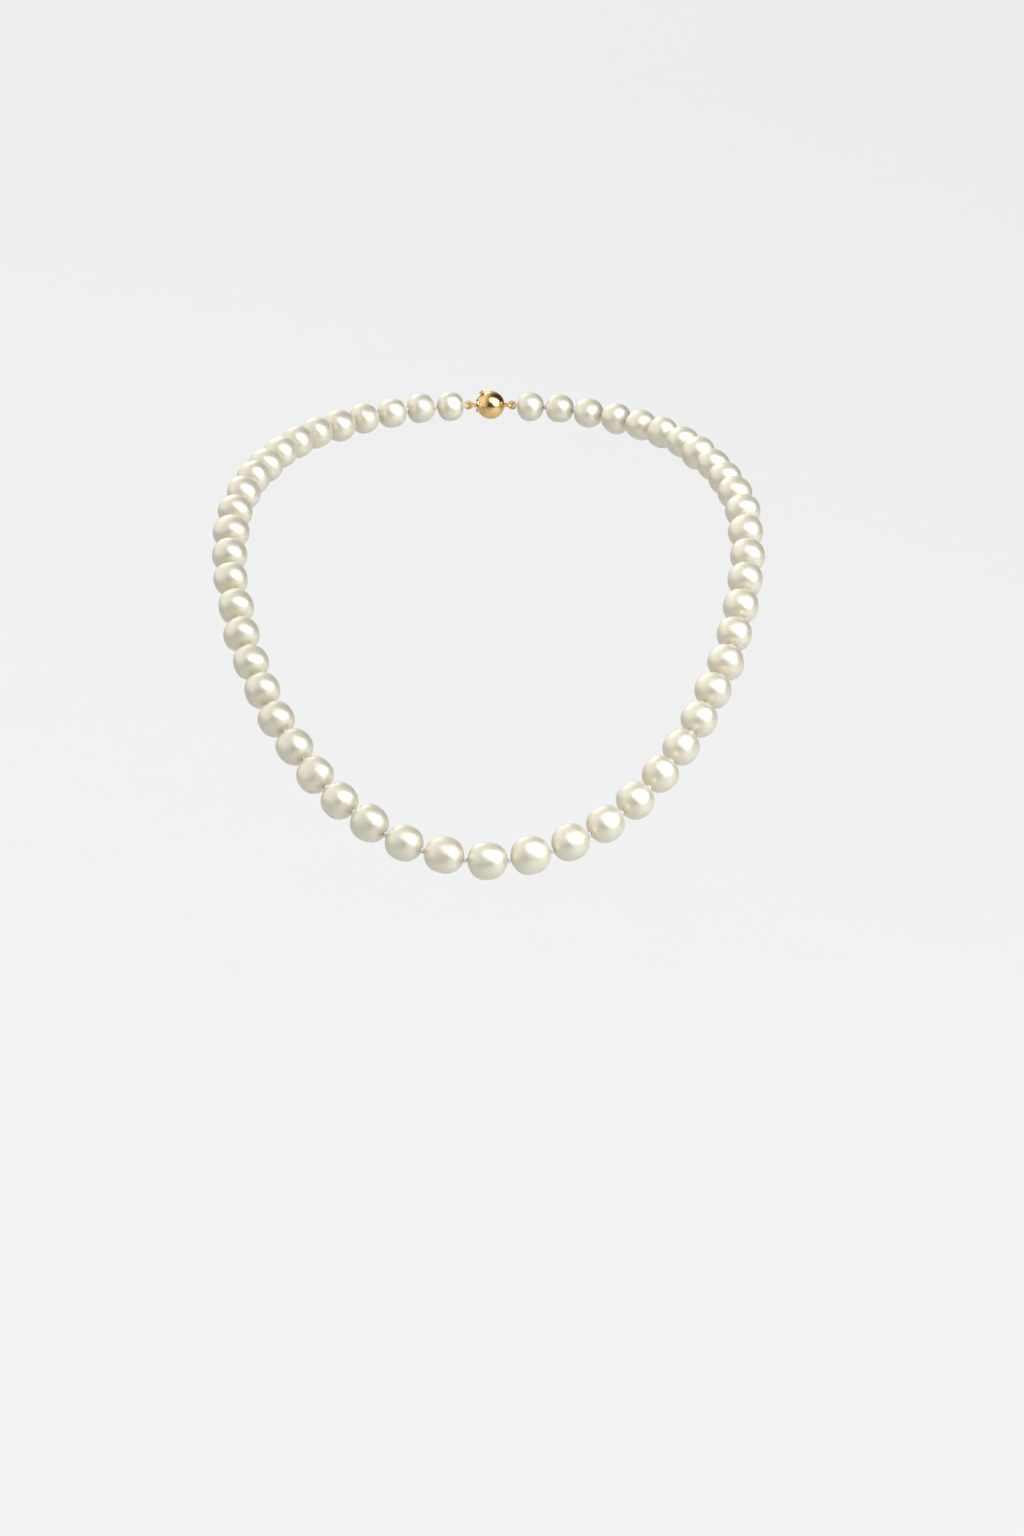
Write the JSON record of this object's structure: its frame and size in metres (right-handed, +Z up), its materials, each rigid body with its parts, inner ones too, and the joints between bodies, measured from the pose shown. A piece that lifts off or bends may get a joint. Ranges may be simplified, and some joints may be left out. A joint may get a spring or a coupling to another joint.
{
  "type": "pearl necklace",
  "caption": "Single-strand necklace of near-round cream pearls on knotted silk, lying as worn, with gimp loops and a push-in ball clasp behind the neck",
  "frame": {"origin": "on the axis of the neck that wears it, level with the clasp at the nape", "axes": "+Z up, -Y to the wearer's front where the centre pearl hangs, +X to the viewer's right"},
  "size_m": [0.1283, 0.1675, 0.0678],
  "materials": {
    "pearl": "gloss",
    "silk": "satin",
    "gimp_wire": "gloss",
    "gold": "polished"
  },
  "bodies": {
    "pearl_01": {"pearl_01": "pearl", "left_gimp_loop": "gimp_wire"},
    "pearl_02": {"pearl_02": "pearl"},
    "pearl_03": {"pearl_03": "pearl"},
    "pearl_04": {"pearl_04": "pearl"},
    "pearl_05": {"pearl_05": "pearl"},
    "pearl_06": {"pearl_06": "pearl"},
    "pearl_07": {"pearl_07": "pearl"},
    "pearl_08": {"pearl_08": "pearl"},
    "pearl_09": {"pearl_09": "pearl"},
    "pearl_10": {"pearl_10": "pearl"},
    "pearl_11": {"pearl_11": "pearl"},
    "pearl_12": {"pearl_12": "pearl"},
    "pearl_13": {"pearl_13": "pearl"},
    "pearl_14": {"pearl_14": "pearl"},
    "pearl_15": {"pearl_15": "pearl"},
    "pearl_16": {"pearl_16": "pearl"},
    "pearl_17": {"pearl_17": "pearl"},
    "pearl_18": {"pearl_18": "pearl"},
    "pearl_19": {"pearl_19": "pearl"},
    "pearl_20": {"pearl_20": "pearl"},
    "pearl_21": {"pearl_21": "pearl"},
    "pearl_22": {"pearl_22": "pearl"},
    "pearl_23": {"pearl_23": "pearl"},
    "pearl_24": {"pearl_24": "pearl"},
    "pearl_25": {"pearl_25": "pearl"},
    "pearl_26": {"pearl_26": "pearl"},
    "pearl_27": {"pearl_27": "pearl", "silk_thread": "silk"},
    "pearl_28": {"pearl_28": "pearl"},
    "pearl_29": {"pearl_29": "pearl"},
    "pearl_30": {"pearl_30": "pearl"},
    "pearl_31": {"pearl_31": "pearl"},
    "pearl_32": {"pearl_32": "pearl"},
    "pearl_33": {"pearl_33": "pearl"},
    "pearl_34": {"pearl_34": "pearl"},
    "pearl_35": {"pearl_35": "pearl"},
    "pearl_36": {"pearl_36": "pearl"},
    "pearl_37": {"pearl_37": "pearl"},
    "pearl_38": {"pearl_38": "pearl"},
    "pearl_39": {"pearl_39": "pearl"},
    "pearl_40": {"pearl_40": "pearl"},
    "pearl_41": {"pearl_41": "pearl"},
    "pearl_42": {"pearl_42": "pearl"},
    "pearl_43": {"pearl_43": "pearl"},
    "pearl_44": {"pearl_44": "pearl"},
    "pearl_45": {"pearl_45": "pearl"},
    "pearl_46": {"pearl_46": "pearl"},
    "pearl_47": {"pearl_47": "pearl"},
    "pearl_48": {"pearl_48": "pearl"},
    "pearl_49": {"pearl_49": "pearl"},
    "pearl_50": {"pearl_50": "pearl"},
    "pearl_51": {"pearl_51": "pearl"},
    "pearl_52": {"pearl_52": "pearl"},
    "pearl_53": {"pearl_53": "pearl", "right_gimp_loop": "gimp_wire"},
    "clasp_tongue": {"clasp_tongue": "gold"},
    "clasp_spring": {"clasp_spring": "gold"},
    "clasp_ball": {"clasp_ball": "gold"}
  },
  "joints": [
    {"name": "strand_open", "type": "hinge", "parent": "pearl_27", "child": "pearl_28", "pos_m": [0.00481, -0.10663, -0.06033], "axis": [0, 0, -1], "range_deg": [0, 12.23], "deforming": ["silk_thread"]},
    {"name": "knot_28_bend", "type": "hinge", "parent": "pearl_28", "child": "pearl_29", "pos_m": [0.01416, -0.1046, -0.05895], "axis": [0, 0, -1], "range_deg": [0, 11.19]},
    {"name": "knot_29_bend", "type": "hinge", "parent": "pearl_29", "child": "pearl_30", "pos_m": [0.02237, -0.10105, -0.05649], "axis": [0, 0, -1], "range_deg": [0, 10.04]},
    {"name": "knot_30_bend", "type": "hinge", "parent": "pearl_30", "child": "pearl_31", "pos_m": [0.02965, -0.09623, -0.0531], "axis": [0, 0, -1], "range_deg": [0, 8.52]},
    {"name": "knot_31_bend", "type": "hinge", "parent": "pearl_31", "child": "pearl_32", "pos_m": [0.03573, -0.09077, -0.04922], "axis": [0, 0, -1], "range_deg": [0, 6.68]},
    {"name": "knot_32_bend", "type": "hinge", "parent": "pearl_32", "child": "pearl_33", "pos_m": [0.04089, -0.0849, -0.04508], "axis": [0, 0, -1], "range_deg": [0, 5.67]},
    {"name": "knot_33_bend", "type": "hinge", "parent": "pearl_33", "child": "pearl_34", "pos_m": [0.04545, -0.07855, -0.04066], "axis": [0, 0, -1], "range_deg": [0, 5.17]},
    {"name": "knot_34_bend", "type": "hinge", "parent": "pearl_34", "child": "pearl_35", "pos_m": [0.04924, -0.07212, -0.03629], "axis": [0, 0, -1], "range_deg": [0, 4.98]},
    {"name": "knot_35_bend", "type": "hinge", "parent": "pearl_35", "child": "pearl_36", "pos_m": [0.0525, -0.06529, -0.03181], "axis": [0, 0, -1], "range_deg": [0, 4.93]},
    {"name": "knot_36_bend", "type": "hinge", "parent": "pearl_36", "child": "pearl_37", "pos_m": [0.05517, -0.05819, -0.02736], "axis": [0, 0, -1], "range_deg": [0, 4.62]},
    {"name": "knot_37_bend", "type": "hinge", "parent": "pearl_37", "child": "pearl_38", "pos_m": [0.05723, -0.05101, -0.02313], "axis": [0, 0, -1], "range_deg": [0, 4.31]},
    {"name": "knot_38_bend", "type": "hinge", "parent": "pearl_38", "child": "pearl_39", "pos_m": [0.05881, -0.04337, -0.01897], "axis": [0, 0, -1], "range_deg": [0, 4.22]},
    {"name": "knot_39_bend", "type": "hinge", "parent": "pearl_39", "child": "pearl_40", "pos_m": [0.05981, -0.03568, -0.01519], "axis": [0, 0, -1], "range_deg": [0, 4.42]},
    {"name": "knot_40_bend", "type": "hinge", "parent": "pearl_40", "child": "pearl_41", "pos_m": [0.06023, -0.02776, -0.0118], "axis": [0, 0, -1], "range_deg": [0, 4.68]},
    {"name": "knot_41_bend", "type": "hinge", "parent": "pearl_41", "child": "pearl_42", "pos_m": [0.06, -0.0195, -0.00884], "axis": [0, 0, -1], "range_deg": [0, 4.79]},
    {"name": "knot_42_bend", "type": "hinge", "parent": "pearl_42", "child": "pearl_43", "pos_m": [0.05908, -0.0114, -0.00659], "axis": [0, 0, -1], "range_deg": [0, 4.67]},
    {"name": "knot_43_bend", "type": "hinge", "parent": "pearl_43", "child": "pearl_44", "pos_m": [0.05745, -0.00307, -0.00488], "axis": [0, 0, -1], "range_deg": [0, 4.45]},
    {"name": "knot_44_bend", "type": "hinge", "parent": "pearl_44", "child": "pearl_45", "pos_m": [0.05518, 0.00509, -0.00366], "axis": [0, 0, -1], "range_deg": [0, 4.29]},
    {"name": "knot_45_bend", "type": "hinge", "parent": "pearl_45", "child": "pearl_46", "pos_m": [0.05236, 0.01291, -0.00282], "axis": [0, 0, -1], "range_deg": [0, 4.39]},
    {"name": "knot_46_bend", "type": "hinge", "parent": "pearl_46", "child": "pearl_47", "pos_m": [0.04886, 0.02069, -0.00219], "axis": [0, 0, -1], "range_deg": [0, 5.16]},
    {"name": "knot_47_bend", "type": "hinge", "parent": "pearl_47", "child": "pearl_48", "pos_m": [0.04482, 0.02785, -0.00174], "axis": [0, 0, -1], "range_deg": [0, 6.49]},
    {"name": "knot_48_bend", "type": "hinge", "parent": "pearl_48", "child": "pearl_49", "pos_m": [0.04, 0.03452, -0.00139], "axis": [0, 0, -1], "range_deg": [0, 8.01]},
    {"name": "knot_49_bend", "type": "hinge", "parent": "pearl_49", "child": "pearl_50", "pos_m": [0.03429, 0.04046, -0.00112], "axis": [0, 0, -1], "range_deg": [0, 9.05]},
    {"name": "knot_50_bend", "type": "hinge", "parent": "pearl_50", "child": "pearl_51", "pos_m": [0.02801, 0.0452, -0.00088], "axis": [0, 0, -1], "range_deg": [0, 8.98]},
    {"name": "knot_51_bend", "type": "hinge", "parent": "pearl_51", "child": "pearl_52", "pos_m": [0.02096, 0.04897, -0.00065], "axis": [0, 0, -1], "range_deg": [0, 8.49]},
    {"name": "knot_52_bend", "type": "hinge", "parent": "pearl_52", "child": "pearl_53", "pos_m": [0.01368, 0.05156, -0.00048], "axis": [0, 0, -1], "range_deg": [0, 9.09]},
    {"name": "ball_ring_swivel", "type": "hinge", "parent": "pearl_53", "child": "clasp_ball", "pos_m": [0.00472, 0.05322, -0.00035], "axis": [0, 0, -1], "range_deg": [0, 10.51]},
    {"name": "knot_26_bend", "type": "hinge", "parent": "pearl_27", "child": "pearl_26", "pos_m": [-0.00481, -0.10663, -0.06033], "axis": [0, 0, 1], "range_deg": [0, 12.23]},
    {"name": "knot_25_bend", "type": "hinge", "parent": "pearl_26", "child": "pearl_25", "pos_m": [-0.01416, -0.1046, -0.05895], "axis": [0, 0, 1], "range_deg": [0, 11.19]},
    {"name": "knot_24_bend", "type": "hinge", "parent": "pearl_25", "child": "pearl_24", "pos_m": [-0.02237, -0.10105, -0.05649], "axis": [0, 0, 1], "range_deg": [0, 10.04]},
    {"name": "knot_23_bend", "type": "hinge", "parent": "pearl_24", "child": "pearl_23", "pos_m": [-0.02965, -0.09623, -0.0531], "axis": [0, 0, 1], "range_deg": [0, 8.52]},
    {"name": "knot_22_bend", "type": "hinge", "parent": "pearl_23", "child": "pearl_22", "pos_m": [-0.03573, -0.09077, -0.04922], "axis": [0, 0, 1], "range_deg": [0, 6.68]},
    {"name": "knot_21_bend", "type": "hinge", "parent": "pearl_22", "child": "pearl_21", "pos_m": [-0.04089, -0.0849, -0.04508], "axis": [0, 0, 1], "range_deg": [0, 5.67]},
    {"name": "knot_20_bend", "type": "hinge", "parent": "pearl_21", "child": "pearl_20", "pos_m": [-0.04545, -0.07855, -0.04066], "axis": [0, 0, 1], "range_deg": [0, 5.17]},
    {"name": "knot_19_bend", "type": "hinge", "parent": "pearl_20", "child": "pearl_19", "pos_m": [-0.04924, -0.07212, -0.03629], "axis": [0, 0, 1], "range_deg": [0, 4.98]},
    {"name": "knot_18_bend", "type": "hinge", "parent": "pearl_19", "child": "pearl_18", "pos_m": [-0.0525, -0.06529, -0.03181], "axis": [0, 0, 1], "range_deg": [0, 4.93]},
    {"name": "knot_17_bend", "type": "hinge", "parent": "pearl_18", "child": "pearl_17", "pos_m": [-0.05517, -0.05819, -0.02736], "axis": [0, 0, 1], "range_deg": [0, 4.62]},
    {"name": "knot_16_bend", "type": "hinge", "parent": "pearl_17", "child": "pearl_16", "pos_m": [-0.05723, -0.05101, -0.02313], "axis": [0, 0, 1], "range_deg": [0, 4.31]},
    {"name": "knot_15_bend", "type": "hinge", "parent": "pearl_16", "child": "pearl_15", "pos_m": [-0.05881, -0.04337, -0.01897], "axis": [0, 0, 1], "range_deg": [0, 4.22]},
    {"name": "knot_14_bend", "type": "hinge", "parent": "pearl_15", "child": "pearl_14", "pos_m": [-0.05981, -0.03568, -0.01519], "axis": [0, 0, 1], "range_deg": [0, 4.42]},
    {"name": "knot_13_bend", "type": "hinge", "parent": "pearl_14", "child": "pearl_13", "pos_m": [-0.06023, -0.02776, -0.0118], "axis": [0, 0, 1], "range_deg": [0, 4.68]},
    {"name": "knot_12_bend", "type": "hinge", "parent": "pearl_13", "child": "pearl_12", "pos_m": [-0.06, -0.0195, -0.00884], "axis": [0, 0, 1], "range_deg": [0, 4.79]},
    {"name": "knot_11_bend", "type": "hinge", "parent": "pearl_12", "child": "pearl_11", "pos_m": [-0.05908, -0.0114, -0.00659], "axis": [0, 0, 1], "range_deg": [0, 4.67]},
    {"name": "knot_10_bend", "type": "hinge", "parent": "pearl_11", "child": "pearl_10", "pos_m": [-0.05745, -0.00307, -0.00488], "axis": [0, 0, 1], "range_deg": [0, 4.45]},
    {"name": "knot_09_bend", "type": "hinge", "parent": "pearl_10", "child": "pearl_09", "pos_m": [-0.05518, 0.00509, -0.00366], "axis": [0, 0, 1], "range_deg": [0, 4.29]},
    {"name": "knot_08_bend", "type": "hinge", "parent": "pearl_09", "child": "pearl_08", "pos_m": [-0.05236, 0.01291, -0.00282], "axis": [0, 0, 1], "range_deg": [0, 4.39]},
    {"name": "knot_07_bend", "type": "hinge", "parent": "pearl_08", "child": "pearl_07", "pos_m": [-0.04886, 0.02069, -0.00219], "axis": [0, 0, 1], "range_deg": [0, 5.16]},
    {"name": "knot_06_bend", "type": "hinge", "parent": "pearl_07", "child": "pearl_06", "pos_m": [-0.04482, 0.02785, -0.00174], "axis": [0, 0, 1], "range_deg": [0, 6.49]},
    {"name": "knot_05_bend", "type": "hinge", "parent": "pearl_06", "child": "pearl_05", "pos_m": [-0.04, 0.03452, -0.00139], "axis": [0, 0, 1], "range_deg": [0, 8.01]},
    {"name": "knot_04_bend", "type": "hinge", "parent": "pearl_05", "child": "pearl_04", "pos_m": [-0.03429, 0.04046, -0.00112], "axis": [0, 0, 1], "range_deg": [0, 9.05]},
    {"name": "knot_03_bend", "type": "hinge", "parent": "pearl_04", "child": "pearl_03", "pos_m": [-0.02801, 0.0452, -0.00088], "axis": [0, 0, 1], "range_deg": [0, 8.98]},
    {"name": "knot_02_bend", "type": "hinge", "parent": "pearl_03", "child": "pearl_02", "pos_m": [-0.02096, 0.04897, -0.00065], "axis": [0, 0, 1], "range_deg": [0, 8.49]},
    {"name": "knot_01_bend", "type": "hinge", "parent": "pearl_02", "child": "pearl_01", "pos_m": [-0.01368, 0.05156, -0.00048], "axis": [0, 0, 1], "range_deg": [0, 9.09]},
    {"name": "tongue_ring_swivel", "type": "hinge", "parent": "pearl_01", "child": "clasp_tongue", "pos_m": [-0.00472, 0.05322, -0.00035], "axis": [0, 0, 1], "range_deg": [0, 10.51]},
    {"name": "catch_press", "type": "hinge", "parent": "clasp_tongue", "child": "clasp_spring", "pos_m": [0.00205, 0.05322, -0.00053], "axis": [0, -1, 0], "range_deg": [0, 8], "stiffness_Nm_per_rad": 0.08}
  ],
  "couplings": [
    {"joint": "knot_28_bend", "follows": "strand_open", "ratio": 0.91477},
    {"joint": "knot_29_bend", "follows": "strand_open", "ratio": 0.82034},
    {"joint": "knot_30_bend", "follows": "strand_open", "ratio": 0.69607},
    {"joint": "knot_31_bend", "follows": "strand_open", "ratio": 0.54595},
    {"joint": "knot_32_bend", "follows": "strand_open", "ratio": 0.46336},
    {"joint": "knot_33_bend", "follows": "strand_open", "ratio": 0.42262},
    {"joint": "knot_34_bend", "follows": "strand_open", "ratio": 0.40697},
    {"joint": "knot_35_bend", "follows": "strand_open", "ratio": 0.40308},
    {"joint": "knot_36_bend", "follows": "strand_open", "ratio": 0.37759},
    {"joint": "knot_37_bend", "follows": "strand_open", "ratio": 0.35207},
    {"joint": "knot_38_bend", "follows": "strand_open", "ratio": 0.34459},
    {"joint": "knot_39_bend", "follows": "strand_open", "ratio": 0.36109},
    {"joint": "knot_40_bend", "follows": "strand_open", "ratio": 0.38253},
    {"joint": "knot_41_bend", "follows": "strand_open", "ratio": 0.39193},
    {"joint": "knot_42_bend", "follows": "strand_open", "ratio": 0.38137},
    {"joint": "knot_43_bend", "follows": "strand_open", "ratio": 0.3635},
    {"joint": "knot_44_bend", "follows": "strand_open", "ratio": 0.35044},
    {"joint": "knot_45_bend", "follows": "strand_open", "ratio": 0.35886},
    {"joint": "knot_46_bend", "follows": "strand_open", "ratio": 0.42196},
    {"joint": "knot_47_bend", "follows": "strand_open", "ratio": 0.53061},
    {"joint": "knot_48_bend", "follows": "strand_open", "ratio": 0.6543},
    {"joint": "knot_49_bend", "follows": "strand_open", "ratio": 0.73957},
    {"joint": "knot_50_bend", "follows": "strand_open", "ratio": 0.73424},
    {"joint": "knot_51_bend", "follows": "strand_open", "ratio": 0.69374},
    {"joint": "knot_52_bend", "follows": "strand_open", "ratio": 0.74306},
    {"joint": "ball_ring_swivel", "follows": "strand_open", "ratio": 0.8593},
    {"joint": "knot_26_bend", "follows": "strand_open", "ratio": 1},
    {"joint": "knot_25_bend", "follows": "strand_open", "ratio": 0.91477},
    {"joint": "knot_24_bend", "follows": "strand_open", "ratio": 0.82034},
    {"joint": "knot_23_bend", "follows": "strand_open", "ratio": 0.69607},
    {"joint": "knot_22_bend", "follows": "strand_open", "ratio": 0.54595},
    {"joint": "knot_21_bend", "follows": "strand_open", "ratio": 0.46336},
    {"joint": "knot_20_bend", "follows": "strand_open", "ratio": 0.42262},
    {"joint": "knot_19_bend", "follows": "strand_open", "ratio": 0.40697},
    {"joint": "knot_18_bend", "follows": "strand_open", "ratio": 0.40308},
    {"joint": "knot_17_bend", "follows": "strand_open", "ratio": 0.37759},
    {"joint": "knot_16_bend", "follows": "strand_open", "ratio": 0.35207},
    {"joint": "knot_15_bend", "follows": "strand_open", "ratio": 0.34459},
    {"joint": "knot_14_bend", "follows": "strand_open", "ratio": 0.36109},
    {"joint": "knot_13_bend", "follows": "strand_open", "ratio": 0.38253},
    {"joint": "knot_12_bend", "follows": "strand_open", "ratio": 0.39193},
    {"joint": "knot_11_bend", "follows": "strand_open", "ratio": 0.38137},
    {"joint": "knot_10_bend", "follows": "strand_open", "ratio": 0.3635},
    {"joint": "knot_09_bend", "follows": "strand_open", "ratio": 0.35044},
    {"joint": "knot_08_bend", "follows": "strand_open", "ratio": 0.35886},
    {"joint": "knot_07_bend", "follows": "strand_open", "ratio": 0.42196},
    {"joint": "knot_06_bend", "follows": "strand_open", "ratio": 0.53061},
    {"joint": "knot_05_bend", "follows": "strand_open", "ratio": 0.6543},
    {"joint": "knot_04_bend", "follows": "strand_open", "ratio": 0.73957},
    {"joint": "knot_03_bend", "follows": "strand_open", "ratio": 0.73424},
    {"joint": "knot_02_bend", "follows": "strand_open", "ratio": 0.69374},
    {"joint": "knot_01_bend", "follows": "strand_open", "ratio": 0.74306},
    {"joint": "tongue_ring_swivel", "follows": "strand_open", "ratio": 0.8593}
  ]
}
